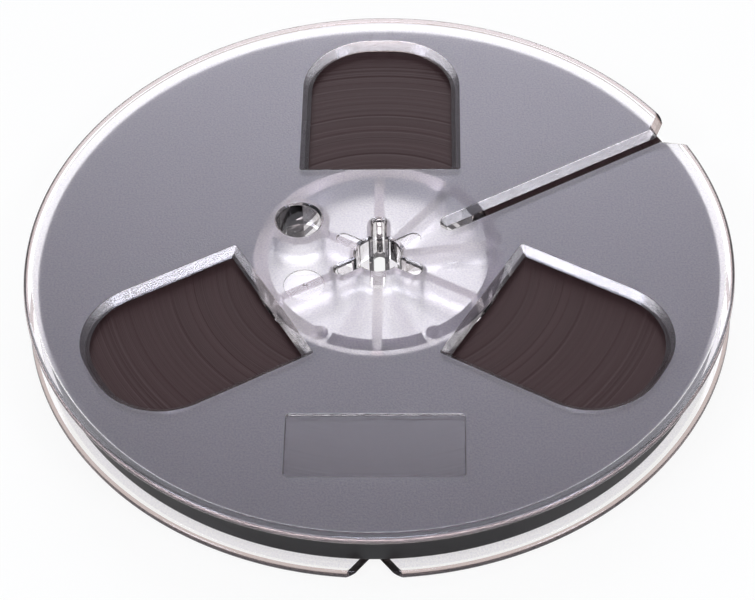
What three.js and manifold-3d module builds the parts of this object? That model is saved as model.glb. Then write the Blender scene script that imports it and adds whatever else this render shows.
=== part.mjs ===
// A 13 cm (5 inch) open-reel tape spool wound with quarter-inch magnetic tape.
// Millimetres, +Z up. The reel lies flat: Z is its axis and z = 0 is the outer face of its
// lower rim. The spool is one moulding used twice: a flange with half of the hub on its inner
// side. The second one is turned over, so that the two half hubs meet at the middle plane.
import * as THREE from "three";
import { mergeVertices } from "three/addons/utils/BufferGeometryUtils.js";
import Module from "manifold-3d";

// Driving dimensions of the whole reel
const reelDiameter = 127;
const hubDiameter = 44.8;
const tapeWidth = 6.3;
const tapeClearance = 0.85; // between an edge of the tape and the flange
const flangeThickness = 1.5;

// Flange
const rimLandWidth = 1.0; // flat band between the frosted face and the rounded edge
const faceRecess = 0.1; // the frosted face lies this far below the rim land
const packRimMargin = 2.5; // bare flange outside the wound tape

// Windows: a straight inner edge, parallel sides and an arched outer end, all bevelled
const windowHalfWidth = 13.35; // at the flange's inner face
const windowBevel = 1.55; // how much wider the outer face's outline is, all round
const windowHubMargin = 0.25; // flange left between the hub wall and a window
const windowRimMargin = 8.45; // from the inner face's arch to the rim
const windowCornerRadius = 11.45;

// Threading slot and the notch that leads into it from the rim
const slotAngle = 30;
const slotHalfWidth = 0.62; // at the flange's inner face
const slotBevel = 1.24;
const slotHubReach = 8.1; // how far the slot reaches inside the hub's outer radius
const notchDepth = 3.5;
const notchFlare = 39; // degrees between a side of the notch and the slot

// Spindle bore with three keyways
const boreDiameter = 8.15;
const keywayWidth = 2.05;
const keywayTipRadius = 8.7;
const lipChamfer = 0.4;
const bossWall = 1.1;

// Drive-peg hole and the tube around it
const pegHoleDiameter = 8.0;
const pegTubeWall = 1.6;

// Hub wall and ribs
const hubWall = 2.6;
const ribThickness = 1.8;
const islandHalfAngle = 23; // the wall stretch across a slot
const gapAngle = 6; // the opening at each end of that stretch
const wallEndRadius = 1.6; // rounded bead that a wall ends in
const slotRibSpread = 22; // the two ribs beside the slot stand this far from it

// Shallow marks in the outer face
const keyMarkWidth = 2.7;
const keyMarkTipRadius = 8.6;
const markDepth = 0.25;
const gateDiscDiameter = 7.2;
const gateDiscHubMargin = 7.3; // from the disc's centre to the hub's outer radius
const gateDiscDepth = 0.15;
const labelLength = 30.3;
const labelWidth = 13.4;
const labelRimMargin = 13.05; // from the label recess to the rim
const labelCornerRadius = 0.7;
const labelDepth = 0.35;

// Wound tape
const packHubGap = 0.3;

// Values that follow from those above
const reelRadius = reelDiameter / 2;
const halfThickness = tapeWidth / 2 + tapeClearance + flangeThickness;
const hubRadius = hubDiameter / 2;
const boreRadius = boreDiameter / 2;
const pegHoleRadius = pegHoleDiameter / 2;
const innerFace = halfThickness - flangeThickness;
const outerFace = halfThickness - faceRecess;
const edgeRadius = flangeThickness / 2;
const pegTubeRadius = pegHoleRadius + pegTubeWall;
const pegCentreRadius = hubRadius - pegTubeRadius;
const windowInnerEdge = hubRadius + windowHubMargin;
const windowOuterRadius = reelRadius - windowRimMargin;
const packRadius = reelRadius - packRimMargin;

// The features of one moulding stand at steps of 60 degrees, counted from its threading slot
const stepAngle = 60;
const keywayAngles = [slotAngle + stepAngle, slotAngle + 3 * stepAngle, slotAngle + 5 * stepAngle];
const markAngles = [slotAngle, slotAngle + 2 * stepAngle, slotAngle + 4 * stepAngle];
const pegAngle = slotAngle + 2 * stepAngle;
const gateDiscAngle = slotAngle + 3 * stepAngle;
const labelAngle = slotAngle + 4 * stepAngle;
const plainRibAngles = [1, 2, 3, 4, 5].map((step) => slotAngle + step * stepAngle);
const slotRibAngles = [slotAngle - slotRibSpread, slotAngle + slotRibSpread];
// The turned-over moulding puts its own slot where this one has its label
const islandAngles = [slotAngle, labelAngle];
const wallStart = slotAngle + islandHalfAngle + gapAngle;
const wallEnd = labelAngle - islandHalfAngle - gapAngle;
const farWallStart = labelAngle + islandHalfAngle + gapAngle;
const farWallEnd = slotAngle + 360 - islandHalfAngle - gapAngle;

// How finely curves are divided
const chordError = 0.02;
const edgeSteps = 4;
const overshoot = 0.2; // how far a cutter passes the face that it cuts
const rootDepth = flangeThickness / 2; // how far hub pieces reach into the flange

const wasm = await Module();
wasm.setup();

const radians = THREE.MathUtils.degToRad;

function at(radius, degrees) {
  return new THREE.Vector2(radius * Math.cos(radians(degrees)), radius * Math.sin(radians(degrees)));
}

function stepsFor(span, radius) {
  const stepAngle = 2 * THREE.MathUtils.radToDeg(Math.acos(1 - chordError / radius));
  return Math.max(1, Math.ceil(Math.abs(span) / stepAngle));
}

function arc(centre, radius, startAngle, endAngle, steps = stepsFor(endAngle - startAngle, radius)) {
  return Array.from({ length: steps + 1 }, (_, i) =>
    at(radius, startAngle + ((endAngle - startAngle) * i) / steps).add(centre),
  );
}

const axis = new THREE.Vector2(0, 0);

function turned(outline, degrees) {
  return outline.map((point) => point.clone().rotateAround(axis, radians(degrees)));
}

function solidOf(geometry) {
  geometry.deleteAttribute("normal");
  geometry.deleteAttribute("uv");
  const merged = mergeVertices(geometry, 1e-4);
  return new wasm.Manifold(
    new wasm.Mesh({
      numProp: 3,
      vertProperties: merged.attributes.position.array,
      triVerts: new Uint32Array(merged.index.array),
    }),
  );
}

// A solid through outlines that all have the same number of points, counter-clockwise from
// above. Each layer is [outline, height], and the first and last are capped.
function stack(layers) {
  const count = layers[0][0].length;
  const points = layers.flatMap(([outline, height]) => outline.flatMap(({ x, y }) => [x, y, height]));
  const top = (layers.length - 1) * count;
  const faces = [];
  for (const [a, b, c] of THREE.ShapeUtils.triangulateShape(layers[0][0], [])) {
    faces.push(c, b, a);
  }
  for (const [a, b, c] of THREE.ShapeUtils.triangulateShape(layers.at(-1)[0], [])) {
    faces.push(a + top, b + top, c + top);
  }
  for (let base = 0; base < top; base += count) {
    for (let i = 0; i < count; i++) {
      const here = base + i;
      const next = base + ((i + 1) % count);
      faces.push(here, next, next + count);
      faces.push(here, next + count, here + count);
    }
  }
  const geometry = new THREE.BufferGeometry();
  geometry.setAttribute("position", new THREE.Float32BufferAttribute(points, 3));
  geometry.setIndex(faces);
  return solidOf(geometry);
}

function prism(outline, low, high) {
  return stack([
    [outline, low],
    [outline, high],
  ]);
}

// A cutter through the flange whose outline grows by bevel from the inner to the outer face
function bevelledCutter(outlineGrownBy, bevel) {
  const low = innerFace - overshoot;
  const high = halfThickness + overshoot;
  const growthAt = (height) => (bevel * (height - innerFace)) / (outerFace - innerFace);
  return stack([low, high].map((height) => [outlineGrownBy(growthAt(height)), height]));
}

// The chamfer around a hole in the outer face
function lipCutter(outlineGrownBy) {
  const low = outerFace - lipChamfer - overshoot;
  const high = outerFace + overshoot;
  const growthAt = (height) => height - outerFace + lipChamfer;
  return stack([low, high].map((height) => [outlineGrownBy(growthAt(height)), height]));
}

function spindleOutline(grow) {
  const halfKeyway = keywayWidth / 2 + grow;
  const radius = boreRadius + grow;
  const mouth = THREE.MathUtils.radToDeg(Math.asin(halfKeyway / radius));
  const pitch = 360 / keywayAngles.length;
  const tipSteps = stepsFor(180, keywayWidth / 2);
  const boreSteps = stepsFor(pitch / 2, boreRadius);
  const tip = (angle) => at(keywayTipRadius + grow - halfKeyway, angle);
  return keywayAngles.flatMap((angle) => [
    ...arc(tip(angle), halfKeyway, angle - 90, angle + 90, tipSteps),
    ...arc(axis, radius, angle + mouth, angle + pitch - mouth, boreSteps),
  ]);
}

function circleOutline(centre, radius, steps = stepsFor(360, radius)) {
  return arc(centre, radius, 0, 360, steps).slice(1);
}

function pegOutline(grow) {
  const steps = stepsFor(360, pegHoleRadius);
  return circleOutline(at(pegCentreRadius, pegAngle), pegHoleRadius + grow, steps);
}

// Drawn with the window's middle line along +X, then turned to its angle
function windowOutline(grow, angle) {
  const halfWidth = windowHalfWidth + grow;
  const innerEdge = windowInnerEdge - grow;
  const corner = windowCornerRadius + grow;
  const side = halfWidth - corner;
  const reach = Math.sqrt((windowOuterRadius + grow - corner) ** 2 - side ** 2);
  const tangent = THREE.MathUtils.radToDeg(Math.atan2(side, reach));
  const steps = stepsFor(90, windowCornerRadius);
  const outline = [
    new THREE.Vector2(innerEdge, halfWidth),
    new THREE.Vector2(innerEdge, -halfWidth),
    ...arc(new THREE.Vector2(reach, -side), corner, -90, -tangent, steps),
    ...arc(new THREE.Vector2(reach, side), corner, tangent, 90, steps),
  ];
  return turned(outline, angle);
}

function slotOutline(grow) {
  const halfWidth = slotHalfWidth + grow;
  const innerEnd = hubRadius - slotHubReach - grow;
  const flareStart = reelRadius - notchDepth - (grow * notchDepth) / (notchDepth + slotBevel);
  const flareEnd = reelRadius + flangeThickness;
  const steps = stepsFor(180, slotHalfWidth);
  const flareHalfWidth = halfWidth + (flareEnd - flareStart) * Math.tan(radians(notchFlare));
  const outline = [
    ...arc(new THREE.Vector2(innerEnd + halfWidth, 0), halfWidth, 90, 270, steps),
    new THREE.Vector2(flareStart, -halfWidth),
    new THREE.Vector2(flareEnd, -flareHalfWidth),
    new THREE.Vector2(flareEnd, flareHalfWidth),
    new THREE.Vector2(flareStart, halfWidth),
  ];
  return turned(outline, slotAngle);
}

function keyMarkOutline(angle) {
  const halfWidth = keyMarkWidth / 2;
  const outline = [
    new THREE.Vector2(0, halfWidth),
    new THREE.Vector2(0, -halfWidth),
    ...arc(new THREE.Vector2(keyMarkTipRadius - halfWidth, 0), halfWidth, -90, 90),
  ];
  return turned(outline, angle);
}

function labelOutline() {
  const outer = reelRadius - labelRimMargin;
  const inner = outer - labelWidth;
  const halfLength = labelLength / 2;
  const corner = (x, y, start) => arc(new THREE.Vector2(x, y), labelCornerRadius, start, start + 90);
  const outline = [
    ...corner(outer - labelCornerRadius, halfLength - labelCornerRadius, 0),
    ...corner(inner + labelCornerRadius, halfLength - labelCornerRadius, 90),
    ...corner(inner + labelCornerRadius, labelCornerRadius - halfLength, 180),
    ...corner(outer - labelCornerRadius, labelCornerRadius - halfLength, 270),
  ];
  return turned(outline, labelAngle);
}

function ribOutline(angle) {
  const outline = [
    new THREE.Vector2(boreRadius, -ribThickness / 2),
    new THREE.Vector2(hubRadius - hubWall / 2, -ribThickness / 2),
    new THREE.Vector2(hubRadius - hubWall / 2, ribThickness / 2),
    new THREE.Vector2(boreRadius, ribThickness / 2),
  ];
  return turned(outline, angle);
}

function wallOutline(start, end) {
  return [...arc(axis, hubRadius, start, end), ...arc(axis, hubRadius - hubWall, end, start)];
}

// A flange with a rounded rim and the frosted face just below the rim land
function makeFlangePlate() {
  const landEdge = reelRadius - edgeRadius;
  const recessEdge = landEdge - rimLandWidth;
  const steps = stepsFor(360, reelRadius);
  const ring = (radius, height) => [circleOutline(axis, radius, steps), height];
  const edgeCentre = new THREE.Vector2(landEdge, innerFace + edgeRadius);
  const roundEdge = arc(edgeCentre, edgeRadius, -90, 90, edgeSteps);
  return stack([
    ...roundEdge.map((point) => ring(point.x, point.y)),
    ring(recessEdge + faceRecess, halfThickness),
    ring(recessEdge, outerFace),
  ]);
}

// Hub pieces stand on the flange's inner face and end at the middle plane of the reel
function makeHubHalf() {
  const top = innerFace + rootDepth;
  const raise = (outline) => prism(outline, 0, top);
  const pieces = [
    raise(spindleOutline(bossWall)),
    raise(circleOutline(at(pegCentreRadius, pegAngle), pegTubeRadius)),
    raise(wallOutline(wallStart, wallEnd)),
    raise(wallOutline(farWallStart, farWallEnd)),
  ];
  for (const angle of islandAngles) {
    pieces.push(raise(wallOutline(angle - islandHalfAngle, angle + islandHalfAngle)));
  }
  for (const angle of [wallStart, wallEnd, farWallStart, farWallEnd]) {
    pieces.push(raise(circleOutline(at(hubRadius - wallEndRadius, angle), wallEndRadius)));
  }
  for (const angle of [...plainRibAngles, ...slotRibAngles]) {
    pieces.push(raise(ribOutline(angle)));
  }
  return pieces.reduce((joined, piece) => joined.add(piece));
}

function cutHoles(body) {
  const below = -overshoot;
  const above = halfThickness + overshoot;
  const slitEnd = hubRadius - slotHubReach + slotHalfWidth;
  const slit = [
    new THREE.Vector2(slitEnd, -slotHalfWidth),
    new THREE.Vector2(hubRadius + overshoot, -slotHalfWidth),
    new THREE.Vector2(hubRadius + overshoot, slotHalfWidth),
    new THREE.Vector2(slitEnd, slotHalfWidth),
  ];
  const cutters = [
    prism(spindleOutline(0), below, above),
    lipCutter(spindleOutline),
    prism(pegOutline(0), below, above),
    lipCutter(pegOutline),
    bevelledCutter(slotOutline, slotBevel),
    prism(turned(slit, slotAngle), below, innerFace + overshoot),
  ];
  for (const angle of keywayAngles) {
    cutters.push(bevelledCutter((grow) => windowOutline(grow, angle), windowBevel));
  }
  return cutters.reduce((left, cutter) => left.subtract(cutter), body);
}

function cutMarks(body) {
  const above = halfThickness + overshoot;
  const discCentre = at(hubRadius - gateDiscHubMargin, gateDiscAngle);
  const cutters = [
    prism(circleOutline(discCentre, gateDiscDiameter / 2), outerFace - gateDiscDepth, above),
    prism(labelOutline(), outerFace - labelDepth, above),
  ];
  for (const angle of markAngles) {
    cutters.push(prism(keyMarkOutline(angle), outerFace - markDepth, above));
  }
  return cutters.reduce((left, cutter) => left.subtract(cutter), body);
}

function geometryOf(solid) {
  const mesh = solid.getMesh();
  const geometry = new THREE.BufferGeometry();
  geometry.setAttribute("position", new THREE.Float32BufferAttribute(mesh.vertProperties, 3));
  geometry.setIndex(new THREE.Uint32BufferAttribute(mesh.triVerts, 1));
  geometry.computeVertexNormals();
  return geometry;
}

function makeHalfSpool(name, geometry) {
  const smokeClear = new THREE.MeshStandardMaterial({
    color: 0x9a98a6,
    roughness: 0.45,
    metalness: 0,
  });
  const mesh = new THREE.Mesh(geometry, smokeClear);
  mesh.name = name;
  return mesh;
}

function makeTapePack() {
  const inner = hubRadius + packHubGap;
  const profile = [
    new THREE.Vector2(inner, -tapeWidth / 2),
    new THREE.Vector2(packRadius, -tapeWidth / 2),
    new THREE.Vector2(packRadius, tapeWidth / 2),
    new THREE.Vector2(inner, tapeWidth / 2),
    new THREE.Vector2(inner, -tapeWidth / 2),
  ];
  const steps = stepsFor(360, packRadius);
  const geometry = new THREE.LatheGeometry(profile, steps).rotateX(Math.PI / 2);
  const brownOxide = new THREE.MeshStandardMaterial({
    color: 0x4b3b39,
    roughness: 0.55,
    metalness: 0.1,
  });
  geometry.deleteAttribute("normal");
  geometry.deleteAttribute("uv");
  const mesh = new THREE.Mesh(mergeVertices(geometry, 1e-4), brownOxide);
  mesh.name = "tape_pack";
  return mesh;
}

const mouldingGeometry = geometryOf(cutMarks(cutHoles(makeFlangePlate().add(makeHubHalf()))));

const reel = new THREE.Group();
reel.position.z = halfThickness;
reel.add(makeHalfSpool("upper_half_spool", mouldingGeometry));

// Turned over about the line through the spindle and the peg hole, so that the bore, the
// keyways, the windows and the peg hole of both halves line up
const lowerHalf = makeHalfSpool("lower_half_spool", mouldingGeometry);
const turningLine = new THREE.Vector3(Math.cos(radians(pegAngle)), Math.sin(radians(pegAngle)), 0);
lowerHalf.quaternion.setFromAxisAngle(turningLine, Math.PI);
reel.add(lowerHalf);
reel.add(makeTapePack());

export default reel;
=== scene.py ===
"""Looks for a 13 cm open-reel tape spool wound with quarter-inch tape.

Lengths in the shape functions are millimetres in the frame of one moulding: its axis is Z and
z = 0 is the middle plane of the reel. A finished mesh is scaled by MM and placed at MIDDLE.
"""

import math

import bpy
import numpy as np
from mathutils import Matrix, Vector


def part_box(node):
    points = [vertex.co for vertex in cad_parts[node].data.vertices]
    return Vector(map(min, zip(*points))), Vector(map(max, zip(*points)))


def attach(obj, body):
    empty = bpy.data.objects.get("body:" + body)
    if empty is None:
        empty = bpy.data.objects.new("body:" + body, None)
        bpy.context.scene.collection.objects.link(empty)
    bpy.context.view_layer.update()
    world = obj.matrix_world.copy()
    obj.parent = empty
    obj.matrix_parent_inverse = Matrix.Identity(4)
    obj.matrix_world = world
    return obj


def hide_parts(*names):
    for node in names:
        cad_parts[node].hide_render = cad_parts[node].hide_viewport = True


MM = 0.001

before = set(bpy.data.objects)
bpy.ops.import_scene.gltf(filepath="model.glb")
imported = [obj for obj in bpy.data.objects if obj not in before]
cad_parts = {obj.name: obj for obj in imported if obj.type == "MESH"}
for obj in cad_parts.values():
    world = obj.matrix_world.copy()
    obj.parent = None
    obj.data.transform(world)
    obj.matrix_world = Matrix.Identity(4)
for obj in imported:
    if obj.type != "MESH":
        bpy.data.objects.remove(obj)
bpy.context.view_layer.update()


def box_mm(node):
    low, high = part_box(node)
    return low / MM, high / MM


upper_low, upper_high = box_mm("upper_half_spool")
pack_low, pack_high = box_mm("tape_pack")

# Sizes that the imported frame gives
REEL_RADIUS = (upper_high.x - upper_low.x) / 2
HALF_THICKNESS = upper_high.z - upper_low.z
PACK_RADIUS = (pack_high.x - pack_low.x) / 2
TAPE_WIDTH = pack_high.z - pack_low.z
MIDDLE = upper_low.z

# Flange
FLANGE_THICKNESS = 1.5
RIM_LAND = 1.0
FACE_RECESS = 0.1
INNER_FACE = HALF_THICKNESS - FLANGE_THICKNESS
OUTER_FACE = HALF_THICKNESS - FACE_RECESS
EDGE_RADIUS = FLANGE_THICKNESS / 2
LAND_OUTER = REEL_RADIUS - EDGE_RADIUS
LAND_INNER = LAND_OUTER - RIM_LAND

# Windows
HUB_RADIUS = 22.4
WINDOW_HALF_WIDTH = 13.35
WINDOW_BEVEL = 1.55
WINDOW_INNER_EDGE = HUB_RADIUS + 0.25
WINDOW_OUTER_RADIUS = REEL_RADIUS - 8.45
WINDOW_CORNER = 11.45
WINDOW_TIGHT = 0.25  # the corners at the hub
WINDOW_TIGHT_GROWTH = 0.2

# Threading slot
SLOT_ANGLE = 30
SLOT_HALF_WIDTH = 0.62
SLOT_BEVEL = 1.24
SLOT_HUB_REACH = 8.1
NOTCH_DEPTH = 3.5
NOTCH_FLARE = math.radians(39)
SLOT_MOUTH = ((-0.4, 0), (0, 0.06), (0.35, 0.32))  # the soft corner between slot and notch

# Bore, peg hole and hub
BORE_RADIUS = 4.075
KEYWAY_WIDTH = 2.05
KEYWAY_TIP = 8.7
LIP = 0.4
BOSS_WALL = 1.1
PEG_HOLE_RADIUS = 4.0
PEG_TUBE_RADIUS = 5.6
HUB_WALL = 2.6
RIB_HALF = 0.9
ISLAND_HALF = 23
GAP = 6
WALL_END = 1.6
RIB_SPREAD = 22

# Shallow marks
MARK_HALF_WIDTH = 1.35
MARK_TIP = 8.6
MARK_DEPTH = 0.25
DISC_RADIUS = 3.6
DISC_DEPTH = 0.15
DISC_CENTRE = HUB_RADIUS - 7.3
NUB_RADIUS = 0.5
NUB_OFFSET = (0.2, 0.1)
# Shares of the nub's radius and heights above the disc's floor
NUB_PROFILE = ((1.0, -0.2), (1.0, 0), (0.75, 0.06), (0.6, 0.16), (0.35, 0.2))
LABEL_LENGTH = 30.3
LABEL_WIDTH = 13.4
LABEL_OUTER = REEL_RADIUS - 13.05
LABEL_CORNER = 0.7
LABEL_DEPTH = 0.35

# Angles, counted in steps of 60 degrees from the slot
STEP = 60
KEYWAY_ANGLES = [SLOT_ANGLE + STEP * n for n in (1, 3, 5)]
MARK_ANGLES = [SLOT_ANGLE + STEP * n for n in (0, 2, 4)]
PEG_ANGLE = SLOT_ANGLE + 2 * STEP
DISC_ANGLE = SLOT_ANGLE + 3 * STEP
LABEL_ANGLE = SLOT_ANGLE + 4 * STEP

# Mesh fineness and edge softness
RIM_STEPS = 480
EDGE_STEPS = 16
BORE_STEPS = 28
END_STEPS = 16  # a slot's or a mark's round end
KEYWAY_STEPS = 18
PEG_STEPS = 84
TUBE_STEPS = 96
DISC_STEPS = 72
NUB_STEPS = 24
WINDOW_STEPS = 40
WINDOW_ARC_STEPS = 10
TIGHT_STEPS = 5
LABEL_CORNER_STEPS = 8
WALL_END_STEPS = 40
WALL_STEP_ANGLE = 1.5
SOFT = 0.1
OVER = 0.4
NOTCH_OVER = 2
SEAM = 0.01  # the two halves stop this far from the middle plane
ROOT = FLANGE_THICKNESS / 2


# ------------------------------------------------------------------ outlines

def polar(radius, degrees):
    a = math.radians(degrees)
    return np.array((radius * math.cos(a), radius * math.sin(a)))


def arc(centre, radius, start, end, steps):
    a = np.radians(np.linspace(start, end, steps + 1))
    return np.column_stack((centre[0] + radius * np.cos(a), centre[1] + radius * np.sin(a)))


def circle(centre, radius, steps):
    return arc(centre, radius, 0, 360, steps)[1:]


def turned(points, degrees):
    a = math.radians(degrees)
    c, s = math.cos(a), math.sin(a)
    return np.asarray(points) @ np.array(((c, s), (-s, c)))


def spindle_outline(grow):
    half = KEYWAY_WIDTH / 2 + grow
    radius = BORE_RADIUS + grow
    mouth = math.degrees(math.asin(half / radius))
    rows = []
    for angle in KEYWAY_ANGLES:
        rows.append(arc(polar(KEYWAY_TIP + grow - half, angle), half, angle - 90, angle + 90, KEYWAY_STEPS))
        rows.append(arc((0, 0), radius, angle + mouth, angle + 120 - mouth, BORE_STEPS))
    return np.vstack(rows)


def peg_outline(grow):
    return circle(polar(HUB_RADIUS - PEG_TUBE_RADIUS, PEG_ANGLE), PEG_HOLE_RADIUS + grow, PEG_STEPS)


def disc_outline(grow):
    return circle(polar(DISC_CENTRE, DISC_ANGLE), DISC_RADIUS + grow, DISC_STEPS)


def window_outline(grow):
    half = WINDOW_HALF_WIDTH + grow
    inner = WINDOW_INNER_EDGE - grow
    corner = WINDOW_CORNER + grow
    side = half - corner
    reach = math.sqrt((WINDOW_OUTER_RADIUS + grow - corner) ** 2 - side**2)
    tangent = math.degrees(math.atan2(side, reach))
    tight = WINDOW_TIGHT + WINDOW_TIGHT_GROWTH * grow
    return np.vstack((
        arc((inner + tight, half - tight), tight, 90, 180, TIGHT_STEPS),
        arc((inner + tight, tight - half), tight, 180, 270, TIGHT_STEPS),
        arc((reach, -side), corner, -90, -tangent, WINDOW_STEPS),
        arc((0, 0), WINDOW_OUTER_RADIUS + grow, -tangent, tangent, WINDOW_ARC_STEPS)[1:-1],
        arc((reach, side), corner, tangent, 90, WINDOW_STEPS),
    ))


def window_at(angle):
    def outline(grow):
        return turned(window_outline(grow), angle)
    return outline


def slot_outline(grow):
    half = SLOT_HALF_WIDTH + grow
    inner = HUB_RADIUS - SLOT_HUB_REACH - grow
    start = REEL_RADIUS - NOTCH_DEPTH - grow * NOTCH_DEPTH / (NOTCH_DEPTH + SLOT_BEVEL)
    end = REEL_RADIUS + NOTCH_OVER
    flare = half + (end - start) * math.tan(NOTCH_FLARE)
    rows = [
        arc((inner + half, 0), half, 90, 270, END_STEPS),
        [(start + x, -half - y) for x, y in SLOT_MOUTH],
        [(end, -flare), (end, flare)],
        [(start + x, half + y) for x, y in reversed(SLOT_MOUTH)],
    ]
    return turned(np.vstack(rows), SLOT_ANGLE)


def mark_outline(angle):
    def outline(grow):
        half = MARK_HALF_WIDTH + grow
        tip = arc((MARK_TIP - MARK_HALF_WIDTH, 0), half, -90, 90, END_STEPS)
        return turned(np.vstack(([(0, half), (0, -half)], tip)), angle)
    return outline


def label_outline(grow):
    half = LABEL_LENGTH / 2 + grow
    outer = LABEL_OUTER + grow
    inner = LABEL_OUTER - LABEL_WIDTH - grow
    r = LABEL_CORNER + grow
    corners = ((outer, half, 0), (inner, half, 90), (inner, -half, 180), (outer, -half, 270))
    rows = []
    for x, y, start in corners:
        centre = (x - math.copysign(r, x - (outer + inner) / 2), y - math.copysign(r, y))
        rows.append(arc(centre, r, start, start + 90, LABEL_CORNER_STEPS))
    return turned(np.vstack(rows), LABEL_ANGLE)


def rib_outline(angle):
    far = HUB_RADIUS - HUB_WALL / 2
    corners = [(BORE_RADIUS, -RIB_HALF), (far, -RIB_HALF), (far, RIB_HALF), (BORE_RADIUS, RIB_HALF)]
    return turned(corners, angle)


def wall_outline(start, end):
    steps = max(4, round((end - start) / WALL_STEP_ANGLE))
    outer = arc((0, 0), HUB_RADIUS, start, end, steps)
    inner = arc((0, 0), HUB_RADIUS - HUB_WALL, end, start, steps)
    return np.vstack((outer, inner))


# ------------------------------------------------------------------ solids

def add_object(name, points, faces):
    mesh = bpy.data.meshes.new(name)
    mesh.from_pydata([tuple(p) for p in points], [], faces)
    mesh.update()
    made = bpy.data.objects.new(name, mesh)
    bpy.context.scene.collection.objects.link(made)
    return made


def stack(name, layers):
    """A solid through outlines with as many points each, counter-clockwise, as (outline, z)."""
    count = len(layers[0][0])
    points = np.vstack([np.column_stack((o, np.full(count, z))) for o, z in layers])
    top = (len(layers) - 1) * count
    faces = [list(range(count))[::-1], list(range(top, top + count))]
    for base in range(0, top, count):
        for i in range(count):
            j = (i + 1) % count
            faces.append([base + i, base + j, base + j + count, base + i + count])
    return add_object(name, points, faces)


def prism(name, outline, low, high):
    return stack(name, [(outline, low), (outline, high)])


def rounded(corner_from, corner, corner_to, steps=3):
    """Points on a small curve that takes the place of a corner, as (grow, z)."""
    a, b, c = (np.array(p, float) for p in (corner_from, corner, corner_to))
    fractions = [k / steps for k in range(steps + 1)]
    return [(1 - t) ** 2 * a + 2 * t * (1 - t) * b + t * t * c for t in fractions]


def bevelled_cutter(name, outline, bevel):
    slope = bevel / (OUTER_FACE - INNER_FACE - SOFT)
    below = (bevel - SOFT * slope, OUTER_FACE - SOFT)
    top = rounded(below, (bevel, OUTER_FACE), (bevel + SOFT, OUTER_FACE))
    rows = [(0, INNER_FACE - OVER), (0, INNER_FACE + SOFT), *top, (bevel + SOFT, HALF_THICKNESS + OVER)]
    return stack(name, [(outline(g), z) for g, z in rows])


def hole_cutter(name, outline):
    corner = OUTER_FACE - LIP
    foot = rounded((0, corner - SOFT), (0, corner), (SOFT, corner + SOFT))
    lip = rounded((LIP - SOFT, OUTER_FACE - SOFT), (LIP, OUTER_FACE), (LIP + SOFT, OUTER_FACE))
    rows = [(0, -OVER), *foot, *lip, (LIP + SOFT, HALF_THICKNESS + OVER)]
    return stack(name, [(outline(g), z) for g, z in rows])


def recess_cutter(name, outline, depth):
    soft = depth / 3
    floor = OUTER_FACE - depth
    foot = rounded((-soft, floor), (0, floor), (0, floor + soft))
    lip = rounded((0, OUTER_FACE - soft), (0, OUTER_FACE), (soft, OUTER_FACE))
    rows = [*foot, *lip, (soft, HALF_THICKNESS + OVER)]
    return stack(name, [(outline(g), z) for g, z in rows])


def evaluated_mesh(thing):
    bpy.context.view_layer.update()
    graph = bpy.context.evaluated_depsgraph_get()
    return bpy.data.meshes.new_from_object(thing.evaluated_get(graph))


def apply_modifiers(thing):
    mesh = evaluated_mesh(thing)
    thing.modifiers.clear()
    thing.data = mesh


def combine(base, parts, operation):
    for part in parts:
        modifier = base.modifiers.new(part.name, "BOOLEAN")
        modifier.operation = operation
        modifier.solver = "MANIFOLD"
        modifier.object = part
    apply_modifiers(base)
    for part in parts:
        bpy.data.objects.remove(part)


def flange_plate():
    """The flange without its openings: a rounded rim, a polished land and the recessed face."""
    rows = []
    for a in np.radians(np.linspace(-90, 90, EDGE_STEPS + 1)):
        height = INNER_FACE + EDGE_RADIUS * (1 + math.sin(a))
        rows.append((LAND_OUTER + EDGE_RADIUS * math.cos(a), height))
    step = FACE_RECESS
    brow = rounded((LAND_INNER + 2 * step, HALF_THICKNESS), (LAND_INNER + step, HALF_THICKNESS),
                   (LAND_INNER + step / 2, HALF_THICKNESS - step / 2))
    foot = rounded((LAND_INNER + step / 2, HALF_THICKNESS - step / 2), (LAND_INNER, OUTER_FACE),
                   (LAND_INNER - step, OUTER_FACE))
    rows += brow + foot[1:]
    return stack("flange", [(circle((0, 0), r, RIM_STEPS), z) for r, z in rows])


def hub_pieces():
    top = INNER_FACE + ROOT
    wall_ends = [SLOT_ANGLE + ISLAND_HALF + GAP, LABEL_ANGLE - ISLAND_HALF - GAP,
                 LABEL_ANGLE + ISLAND_HALF + GAP, SLOT_ANGLE + 360 - ISLAND_HALF - GAP]
    tube_centre = polar(HUB_RADIUS - PEG_TUBE_RADIUS, PEG_ANGLE)
    outlines = [spindle_outline(BOSS_WALL), circle(tube_centre, PEG_TUBE_RADIUS, TUBE_STEPS)]
    outlines += [wall_outline(*wall_ends[:2]), wall_outline(*wall_ends[2:])]
    for angle in (SLOT_ANGLE, LABEL_ANGLE):
        outlines.append(wall_outline(angle - ISLAND_HALF, angle + ISLAND_HALF))
    for angle in wall_ends:
        outlines.append(circle(polar(HUB_RADIUS - WALL_END, angle), WALL_END, WALL_END_STEPS))
    rib_angles = [SLOT_ANGLE + STEP * n for n in range(1, 6)]
    for angle in rib_angles + [SLOT_ANGLE - RIB_SPREAD, SLOT_ANGLE + RIB_SPREAD]:
        outlines.append(rib_outline(angle))
    return [prism(f"hub_{n}", outline, SEAM, top) for n, outline in enumerate(outlines)]


def slit_outline():
    start = HUB_RADIUS - SLOT_HUB_REACH + SLOT_HALF_WIDTH
    end = HUB_RADIUS + OVER
    half = SLOT_HALF_WIDTH
    return turned([(start, -half), (end, -half), (end, half), (start, half)], SLOT_ANGLE)


def gate_nub():
    """The torn stub of the gate, on the floor of the gate disc."""
    centre = polar(DISC_CENTRE, DISC_ANGLE) + np.array(NUB_OFFSET)
    floor = OUTER_FACE - DISC_DEPTH
    layers = [(circle(centre, NUB_RADIUS * share, NUB_STEPS), floor + rise) for share, rise in NUB_PROFILE]
    return stack("nub", layers)


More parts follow.
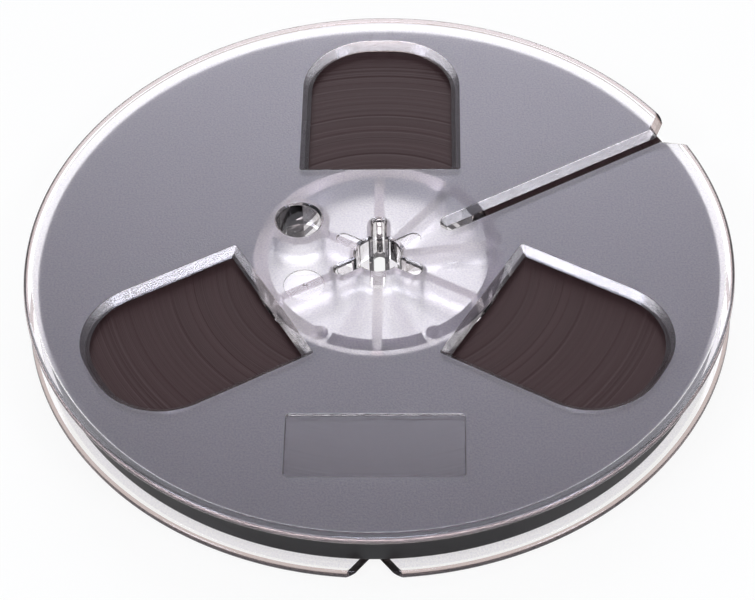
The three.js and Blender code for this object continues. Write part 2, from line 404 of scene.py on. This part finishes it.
def build_moulding():
    body = flange_plate()
    combine(body, hub_pieces(), "UNION")
    cutters = [
        hole_cutter("bore", spindle_outline),
        hole_cutter("peg_hole", peg_outline),
        bevelled_cutter("slot", slot_outline, SLOT_BEVEL),
        prism("slit", slit_outline(), -OVER, INNER_FACE + OVER),
        recess_cutter("disc", disc_outline, DISC_DEPTH),
        recess_cutter("label", label_outline, LABEL_DEPTH),
    ]
    for angle in KEYWAY_ANGLES:
        cutters.append(bevelled_cutter(f"window_{angle}", window_at(angle), WINDOW_BEVEL))
    for angle in MARK_ANGLES:
        cutters.append(recess_cutter(f"mark_{angle}", mark_outline(angle), MARK_DEPTH))
    combine(body, cutters, "DIFFERENCE")
    combine(body, [gate_nub()], "UNION")
    return body


# ------------------------------------------------------------------ materials

class Nodes:
    """A material's node tree, with short ways to add to it."""

    def __init__(self, name):
        self.material = bpy.data.materials.new(name)
        self.material.use_nodes = True
        self.tree = self.material.node_tree
        self.shader = self.tree.nodes["Principled BSDF"]
        self.output = self.tree.nodes["Material Output"]

    def feed(self, socket, value):
        if isinstance(value, bpy.types.NodeSocket):
            self.tree.links.new(value, socket)
        else:
            socket.default_value = value

    def add(self, kind, inputs=(), **settings):
        node = self.tree.nodes.new(kind)
        for key, value in settings.items():
            setattr(node, key, value)
        for key, value in dict(inputs).items():
            self.feed(node.inputs[key], value)
        return node

    def math(self, operation, *values):
        return self.add("ShaderNodeMath", enumerate(values), operation=operation).outputs[0]

    def set(self, **values):
        for key, value in values.items():
            self.feed(self.shader.inputs[key.replace("_", " ")], value)

    def millimetres(self):
        place = self.add("ShaderNodeTexCoord").outputs["Object"]
        return self.add("ShaderNodeVectorMath", {0: place, "Scale": 1 / MM}, operation="SCALE").outputs[0]

    def noise(self, vector, scale, detail=2.0, roughness=0.5):
        inputs = {"Vector": vector, "Scale": scale, "Detail": detail, "Roughness": roughness}
        return self.add("ShaderNodeTexNoise", inputs).outputs["Fac"]

    def bump(self, height, strength, distance, normal=None):
        inputs = {"Height": height, "Strength": strength, "Distance": distance}
        if normal is not None:
            inputs["Normal"] = normal
        return self.add("ShaderNodeBump", inputs).outputs[0]

    def spread(self, value, low, high, start=0.0, end=1.0):
        inputs = {"Value": value, "From Min": start, "From Max": end, "To Min": low, "To Max": high}
        return self.add("ShaderNodeMapRange", inputs).outputs[0]

    def ramp(self, value, low, high):
        node = self.add("ShaderNodeMix", {0: value}, data_type="RGBA")
        for index, colour in ((6, low), (7, high)):
            self.feed(node.inputs[index], (*colour, 1) if isinstance(colour, tuple) else colour)
        return node.outputs[2]


PLASTIC_IOR = 1.59
SMOKE_COLOUR = (0.7, 0.62, 0.62, 1)
SMOKE_DENSITY = 100.0
# Dark painted shade on the ends of the hub walls and ribs at the middle plane
PAINTED_WALL_SHADE = (0.17, 0.15, 0.19)
# Brown painted shade on the rim's edge, for the dark tape the edge shows
PAINTED_RIM_SHADE = (0.42, 0.31, 0.29)
CLEAR = (1.0, 1.0, 1.0)
POLISHED_SHEEN = (0.9, 0.88, 1.0)
POLISHED_ROUGHNESS = 0.02
WAVES_PER_MM = 0.4
WAVE_HEIGHT = 0.0004  # millimetres, like the grain's height and size

# The frosted faces. A pair of tints is for the grain's hollows and its tops
GRAIN_SIZE = 0.36
GRAIN_HEIGHT = 0.05
GRAIN_CONTRAST = (0.34, 0.66)
HAZE_TINTS = ((0.7, 0.68, 0.78), (1.0, 0.98, 1.0))
SHEEN_TINTS = ((0.5, 0.47, 0.66), (1.0, 0.98, 1.0))
MOST_HAZE = 0.075
FROSTED_ROUGHNESS = (0.27, 0.29)
PATCHES_PER_MM = 0.25


def smoke_clear_plastic():
    """Clear smoke plastic, from three face attributes of the moulding.

    frost is 1 on the frosted faces and 0 where polished. The second attribute is 1 on the ends of the
    hub walls at the middle plane and less on those of the ribs; it lays a dark painted shade there.
    rim is 1 on the outermost edge, where it lays a brown painted shade.
    """
    n = Nodes("smoke_clear_plastic")
    place = n.millimetres()
    frost = n.add("ShaderNodeAttribute", attribute_name="frost").outputs["Fac"]
    wall_shade = n.add("ShaderNodeAttribute", attribute_name="wall_shade").outputs["Fac"]
    rim = n.add("ShaderNodeAttribute", attribute_name="rim").outputs["Fac"]
    grain = n.noise(place, 1 / GRAIN_SIZE, 2.0, 0.7)
    patches = n.noise(place, PATCHES_PER_MM, 2.0)
    waves = n.noise(place, WAVES_PER_MM, 2.0)
    sparkle = n.spread(grain, 0.0, 1.0, *GRAIN_CONTRAST)
    hazy = n.ramp(sparkle, *HAZE_TINTS)
    clear = n.ramp(frost, CLEAR, hazy)
    sheen = n.ramp(sparkle, *SHEEN_TINTS)
    haze = n.math("MULTIPLY", n.math("MULTIPLY", frost, frost), n.spread(sparkle, 0.0, MOST_HAZE))
    rough = n.math("MULTIPLY", frost, n.spread(patches, *FROSTED_ROUGHNESS))
    gloss = n.bump(waves, 1.0, WAVE_HEIGHT * MM)
    n.set(
        # The base colour carries painted shade: dark on the ends of the hub walls and ribs, brown on the
        # rim's edge
        Base_Color=n.ramp(rim, n.ramp(wall_shade, clear, PAINTED_WALL_SHADE), PAINTED_RIM_SHADE),
        IOR=PLASTIC_IOR,
        Transmission_Weight=n.math("SUBTRACT", 1.0, haze),
        Specular_Tint=n.ramp(frost, POLISHED_SHEEN, sheen),
        Roughness=n.math("ADD", rough, POLISHED_ROUGHNESS),
        Normal=n.bump(n.math("MULTIPLY", frost, grain), 1.0, GRAIN_HEIGHT * MM, gloss),
    )
    smoke = n.add("ShaderNodeVolumeAbsorption", {"Color": SMOKE_COLOUR, "Density": SMOKE_DENSITY})
    n.tree.links.new(smoke.outputs[0], n.output.inputs["Volume"])
    return n.material


def radius_of(n, place):
    flat = n.add("ShaderNodeVectorMath", {0: place, 1: (1, 1, 0)}, operation="MULTIPLY").outputs[0]
    return n.add("ShaderNodeVectorMath", {0: flat}, operation="LENGTH").outputs["Value"]


TURNS_DARK, TURNS_LIGHT = (0.012, 0.0052, 0.0058), (0.046, 0.021, 0.023)
TURNS_SHEEN = (1.0, 0.78, 0.76, 1)
BACKING_DARK, BACKING_LIGHT = (0.007, 0.0068, 0.0088), (0.013, 0.0122, 0.0158)
BACKING_STRETCH = (0.15, 0.15, 1.6)
TAPE_SPECULAR = {"edges": 0.25, "side": 0.3}


def tape_edges():
    """The edges of the wound turns, with fine concentric streaks."""
    n = Nodes("tape_edges")
    place = n.millimetres()
    r = radius_of(n, place)

    def streaks(scale, detail):
        inputs = {"W": r, "Scale": scale, "Detail": detail, "Roughness": 0.6}
        return n.add("ShaderNodeTexNoise", inputs, noise_dimensions="1D").outputs["Fac"]

    fine = streaks(5.0, 3.0)
    broad = streaks(0.45, 2.0)
    lines = n.math("MULTIPLY", n.spread(fine, 0.35, 0.9), n.spread(broad, 0.6, 1.0))
    n.set(
        Base_Color=n.ramp(lines, TURNS_DARK, TURNS_LIGHT),
        Roughness=n.spread(fine, 0.45, 0.6),
        Specular_IOR_Level=TAPE_SPECULAR["edges"],
        Specular_Tint=TURNS_SHEEN,
        Normal=n.bump(fine, 0.6, 0.05 * MM),
        Anisotropic=0.5,
    )
    tangent = n.add("ShaderNodeTangent", direction_type="RADIAL", axis="Z").outputs[0]
    n.set(Tangent=tangent)
    return n.material


def tape_side():
    """The flat of the outermost turn: smooth charcoal backing."""
    n = Nodes("tape_side")
    place = n.millimetres()
    stretched = n.add("ShaderNodeVectorMath", {0: place, 1: BACKING_STRETCH}, operation="MULTIPLY")
    wave = n.noise(stretched.outputs[0], 1.0, 3.0)
    n.set(
        Base_Color=n.ramp(wave, BACKING_DARK, BACKING_LIGHT),
        Roughness=n.spread(wave, 0.34, 0.45),
        Specular_IOR_Level=TAPE_SPECULAR["side"],
        Normal=n.bump(wave, 0.3, 0.03 * MM),
    )
    return n.material


# ------------------------------------------------------------------ pieces

# Values of the face attributes
FROSTED, TEXTURED, SMOOTH, POLISHED = 1.0, 0.45, 0.2, 0.0
# Shares of the dark painted shade on the ends of the hub walls and of the ribs
WALL_SHADE_SHARE, RIB_SHADE_SHARE = 1.0, 0.45

# How faces are told apart, by their normals' z and their places in millimetres
FLAT = 0.98
BEVELLED = (0.3, 0.95)
CREST = 0.8
NEAR_FACE = 0.02
BEVEL_REACH = 2.0
WALL_SLACK = 0.3
HALF_SPOOL_CREASE = math.radians(32)


def frost_of(centre, normal):
    """How frosted a face of the moulding is, from its centre in millimetres and its normal."""
    radius = math.hypot(centre.x, centre.y)
    if normal.z > FLAT and centre.z > OUTER_FACE - NEAR_FACE and radius < LAND_INNER:
        return FROSTED
    if normal.z > FLAT and INNER_FACE < centre.z < OUTER_FACE:
        return SMOOTH
    if BEVELLED[0] < normal.z < BEVELLED[1] and HUB_RADIUS - BEVEL_REACH < radius < LAND_INNER:
        return TEXTURED
    return POLISHED


def wall_shade_of(centre, normal):
    """How strong the dark painted shade is on a face of the moulding's middle plane."""
    if normal.z > -FLAT or centre.z > 2 * SEAM:
        return 0.0
    radius = math.hypot(centre.x, centre.y)
    return WALL_SHADE_SHARE if radius > HUB_RADIUS - HUB_WALL - WALL_SLACK else RIB_SHADE_SHARE


def rim_of(centre, normal):
    """1 on the rounded outer edge below its crest, where the colour gets a brown painted shade."""
    return float(math.hypot(centre.x, centre.y) > LAND_OUTER and normal.z < CREST)


def mark_faces(mesh):
    for name, value_of in (("frost", frost_of), ("wall_shade", wall_shade_of), ("rim", rim_of)):
        marks = mesh.attributes.new(name, "FLOAT", "FACE")
        marks.data.foreach_set("value", [value_of(p.center, p.normal) for p in mesh.polygons])


def finish_mesh(mesh, name):
    mesh.name = name
    mesh.polygons.foreach_set("use_smooth", [True] * len(mesh.polygons))
    mesh.set_sharp_from_angle(angle=HALF_SPOOL_CREASE)


def even_shading(thing):
    modifier = thing.modifiers.new("even_shading", "WEIGHTED_NORMAL")
    modifier.mode = "FACE_AREA_WITH_ANGLE"
    modifier.weight = 100
    modifier.keep_sharp = True
    apply_modifiers(thing)


def add_half_spools():
    upper = build_moulding()
    finish_mesh(upper.data, "half_spool_moulding")
    even_shading(upper)
    mesh = upper.data
    mesh.materials.clear()
    mesh.materials.append(smoke_clear_plastic())
    mark_faces(mesh)
    mesh.polygons.foreach_set("material_index", [0] * len(mesh.polygons))
    mesh.transform(Matrix.Scale(MM, 4))
    middle = Matrix.Translation((0, 0, MIDDLE * MM))
    turn_line = Vector((*polar(1, PEG_ANGLE), 0))
    upper.name = "upper_half_spool_visual"
    upper.matrix_world = middle
    lower = bpy.data.objects.new("lower_half_spool_visual", mesh.copy())
    bpy.context.scene.collection.objects.link(lower)
    lower.data.transform(Matrix.Rotation(math.pi, 4, turn_line))
    lower.matrix_world = middle
    for piece, node in ((upper, "upper_half_spool"), (lower, "lower_half_spool")):
        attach(piece, "root")
        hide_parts(node)


# The tape pack: how its rings of turns stand above and below one another
TAPE_RINGS = 150
TAPE_STEPS = 288
TAPE_HUB_GAP = 0.3
TAPE_SETBACK = 0.03
TURN_SPREAD = 0.012
SUNK_TURNS, SUNK_DEPTH = 14, 0.07
HIGHEST, LOWEST_ABOVE, LOWEST_BELOW = 0.02, -0.12, -0.1
TAPE_CHAMFER = 0.06
TAPE_SIDE_MARGIN, TAPE_SIDE_ROWS = 0.3, 5
TAPE_CREASE = math.radians(40)
TAPE_SIDE_NORMAL = 0.4


def tape_profile():
    """The pack's section as (radius, z), with edges that step slightly from ring to ring."""
    rng = np.random.default_rng(7)
    radii = np.linspace(HUB_RADIUS + TAPE_HUB_GAP, PACK_RADIUS - TAPE_SETBACK, TAPE_RINGS)
    steps = rng.normal(0, TURN_SPREAD, TAPE_RINGS)
    steps[rng.choice(TAPE_RINGS, SUNK_TURNS, replace=False)] -= SUNK_DEPTH
    steps_below = rng.normal(0, TURN_SPREAD, TAPE_RINGS)
    edge = TAPE_WIDTH / 2 - TAPE_SETBACK
    top = edge + np.clip(steps, LOWEST_ABOVE, HIGHEST)
    bottom = -(edge + np.clip(steps_below, LOWEST_BELOW, HIGHEST))
    high = TAPE_WIDTH / 2 - TAPE_SIDE_MARGIN
    profile = [(r, z) for r, z in zip(radii, top)]
    profile += [(PACK_RADIUS, TAPE_WIDTH / 2 - TAPE_CHAMFER)]
    profile += [(PACK_RADIUS, z) for z in np.linspace(high, -high, TAPE_SIDE_ROWS)]
    profile += [(PACK_RADIUS, TAPE_CHAMFER - TAPE_WIDTH / 2)]
    profile += [(r, z) for r, z in zip(radii[::-1], bottom[::-1])]
    return profile


def is_tape_side(face):
    radius = math.hypot(face.center.x, face.center.y)
    return abs(face.normal.z) < TAPE_SIDE_NORMAL and radius > PACK_RADIUS - NEAR_FACE


def add_tape():
    profile = tape_profile()
    angles = np.linspace(0, 2 * math.pi, TAPE_STEPS, endpoint=False)
    points = [(r * math.cos(a), r * math.sin(a), z) for a in angles for r, z in profile]
    count = len(profile)
    faces = []
    for i in range(TAPE_STEPS):
        here, there = i * count, (i + 1) % TAPE_STEPS * count
        for k in range(count):
            m = (k + 1) % count
            faces.append([here + k, here + m, there + m, there + k])
    pack = add_object("wound_tape", points, faces)
    mesh = pack.data
    mesh.flip_normals()
    mesh.polygons.foreach_set("use_smooth", [True] * len(mesh.polygons))
    mesh.set_sharp_from_angle(angle=TAPE_CREASE)
    mesh.materials.append(tape_edges())
    mesh.materials.append(tape_side())
    mesh.polygons.foreach_set("material_index", [int(is_tape_side(face)) for face in mesh.polygons])
    mesh.transform(Matrix.Scale(MM, 4))
    pack.matrix_world = Matrix.Translation((0, 0, MIDDLE * MM))
    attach(pack, "root")
    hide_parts("tape_pack")


# ------------------------------------------------------------------ stage, lamps and camera

FLOOR_HALF = 3.0  # metres
AIR_FILM = 0.03  # millimetres between the rim and the floor
FLOOR_WHITE = (0.9, 0.9, 0.9, 1)
DIRECT_WHITE = 0.9
# Painted shadow on the floor, for rays through the plastic: a ring under the tape and a dimmer white under
# the hub
TAPE_RING_MIDDLE = 41.0
SHADE_EDGE = (17.0, 19.5)  # from the middle of the tape's ring
HUB_SHADE = 0.74
HUB_SHADE_EDGE = (30.0, 45.0)


def add_floor():
    """A white floor that shows white through the clear plastic, with a painted shadow in a ring under the
    tape and painted shade under the hub, for rays that come through the plastic.
    """
    half, low = FLOOR_HALF, -AIR_FILM * MM
    corners = [(-half, -half, low), (half, -half, low), (half, half, low), (-half, half, low)]
    floor = add_object("floor", corners, [[0, 1, 2, 3]])
    n = Nodes("floor_white")
    n.set(Base_Color=FLOOR_WHITE, Roughness=0.9, Specular_IOR_Level=0.0)
    r = radius_of(n, n.millimetres())
    # Painted shadow: rays through the plastic lose the floor's white in a ring under the tape, and it dims
    # to HUB_SHADE under the hub
    from_ring = n.math("ABSOLUTE", n.math("SUBTRACT", r, TAPE_RING_MIDDLE))
    clear_of_painted_shadow = n.spread(from_ring, 0.0, 1.0, *SHADE_EDGE)
    path = n.add("ShaderNodeLightPath").outputs
    through = n.math("MULTIPLY", path["Is Transmission Ray"], clear_of_painted_shadow)
    direct = n.math("MAXIMUM", path["Is Camera Ray"], path["Is Glossy Ray"])
    share = n.math("MAXIMUM", n.math("MULTIPLY", direct, DIRECT_WHITE), through)
    strength = n.math("MAXIMUM", n.spread(r, HUB_SHADE, 1.0, *HUB_SHADE_EDGE), direct)
    white = n.add("ShaderNodeEmission", {"Color": (1, 1, 1, 1), "Strength": strength})
    mix = n.add("ShaderNodeMixShader", {0: share, 1: n.shader.outputs[0], 2: white.outputs[0]})
    n.tree.links.new(mix.outputs[0], n.output.inputs["Surface"])
    floor.data.materials.append(n.material)


BACK_GLOW = math.radians(30)  # height of the brightest part of the backdrop
GLOW_EDGE = 0.885  # cosine of the angle from there at which the glow ends
WORLD_LOW, WORLD_HIGH = 0.4, 5.0
WORLD_COLOUR = (0.93, 0.95, 1, 1)


def add_world():
    world = bpy.data.worlds.new("studio")
    bpy.context.scene.world = world
    world.use_nodes = True
    tree = world.node_tree
    tree.nodes.clear()
    out = tree.nodes.new("ShaderNodeOutputWorld")
    direction = tree.nodes.new("ShaderNodeTexCoord").outputs["Generated"]
    facing = tree.nodes.new("ShaderNodeVectorMath")
    facing.operation = "DOT_PRODUCT"
    tree.links.new(direction, facing.inputs[0])
    facing.inputs[1].default_value = (0, math.cos(BACK_GLOW), math.sin(BACK_GLOW))
    ramp = tree.nodes.new("ShaderNodeMapRange")
    ramp.interpolation_type = "SMOOTHSTEP"
    tree.links.new(facing.outputs["Value"], ramp.inputs["Value"])
    for name, value in (("From Min", GLOW_EDGE), ("To Min", WORLD_LOW), ("To Max", WORLD_HIGH)):
        ramp.inputs[name].default_value = value
    soft = tree.nodes.new("ShaderNodeBackground")
    soft.inputs["Color"].default_value = WORLD_COLOUR
    tree.links.new(ramp.outputs[0], soft.inputs["Strength"])
    white = tree.nodes.new("ShaderNodeBackground")
    white.inputs["Color"].default_value = (1, 1, 1, 1)
    white.inputs["Strength"].default_value = 1.0
    mix = tree.nodes.new("ShaderNodeMixShader")
    tree.links.new(tree.nodes.new("ShaderNodeLightPath").outputs["Is Camera Ray"], mix.inputs[0])
    tree.links.new(soft.outputs[0], mix.inputs[1])
    tree.links.new(white.outputs[0], mix.inputs[2])
    tree.links.new(mix.outputs[0], out.inputs["Surface"])


def add_lamp(name, place, size, radiance, colour):
    """A soft box at place that faces the reel. radiance is what a mirror would show of it."""
    lamp = bpy.data.lights.new(name, "AREA")
    lamp.shape = "RECTANGLE"
    lamp.size, lamp.size_y = size
    lamp.energy = radiance * math.pi * size[0] * size[1]
    lamp.color = colour
    made = bpy.data.objects.new(name, lamp)
    bpy.context.scene.collection.objects.link(made)
    made.location = place
    made.rotation_euler = (-Vector(place)).to_track_quat("-Z", "Y").to_euler()


LAMP_COLOUR = (0.9, 0.93, 1.0)


def add_lamps():
    add_lamp("top_box", place=(0, 0.1, 1.1), size=(0.2, 0.2), radiance=12.0, colour=LAMP_COLOUR)
    for side in (-1, 1):
        place = (0.62 * side, -0.38, 0.75)
        add_lamp(f"front_box_{side + 1}", place, size=(0.3, 0.3), radiance=8.0, colour=LAMP_COLOUR)


CAMERA_ELEVATION = math.radians(48.134)
CAMERA_ROLL = math.radians(-1.799)
CAMERA_TURN = math.radians(2.12)
CAMERA_DISTANCE = 0.4194
CAMERA_AIM = (-0.00041, -0.01136)
CAMERA_LENS = 113.67


def add_camera():
    data = bpy.data.cameras.new("photo_angle")
    data.sensor_width = 36
    data.lens = CAMERA_LENS
    data.clip_start = 0.01
    camera = bpy.data.objects.new("photo_angle", data)
    bpy.context.scene.collection.objects.link(camera)
    back = Vector((0, -math.cos(CAMERA_ELEVATION), math.sin(CAMERA_ELEVATION)))
    right = Vector((1, 0, 0))
    up = right.cross(-back)
    c, s = math.cos(CAMERA_ROLL), math.sin(CAMERA_ROLL)
    axes = Matrix((c * right + s * up, c * up - s * right, back)).transposed()
    place = Vector((*CAMERA_AIM, MM * (MIDDLE + HALF_THICKNESS))) + back * CAMERA_DISTANCE
    turn = Matrix.Rotation(CAMERA_TURN, 4, "Z")
    camera.matrix_world = turn @ (Matrix.Translation(place) @ axes.to_4x4())
    bpy.context.scene.camera = camera


bpy.context.scene.view_settings.view_transform = "Standard"
add_half_spools()
add_tape()
add_floor()
add_world()
add_lamps()
add_camera()
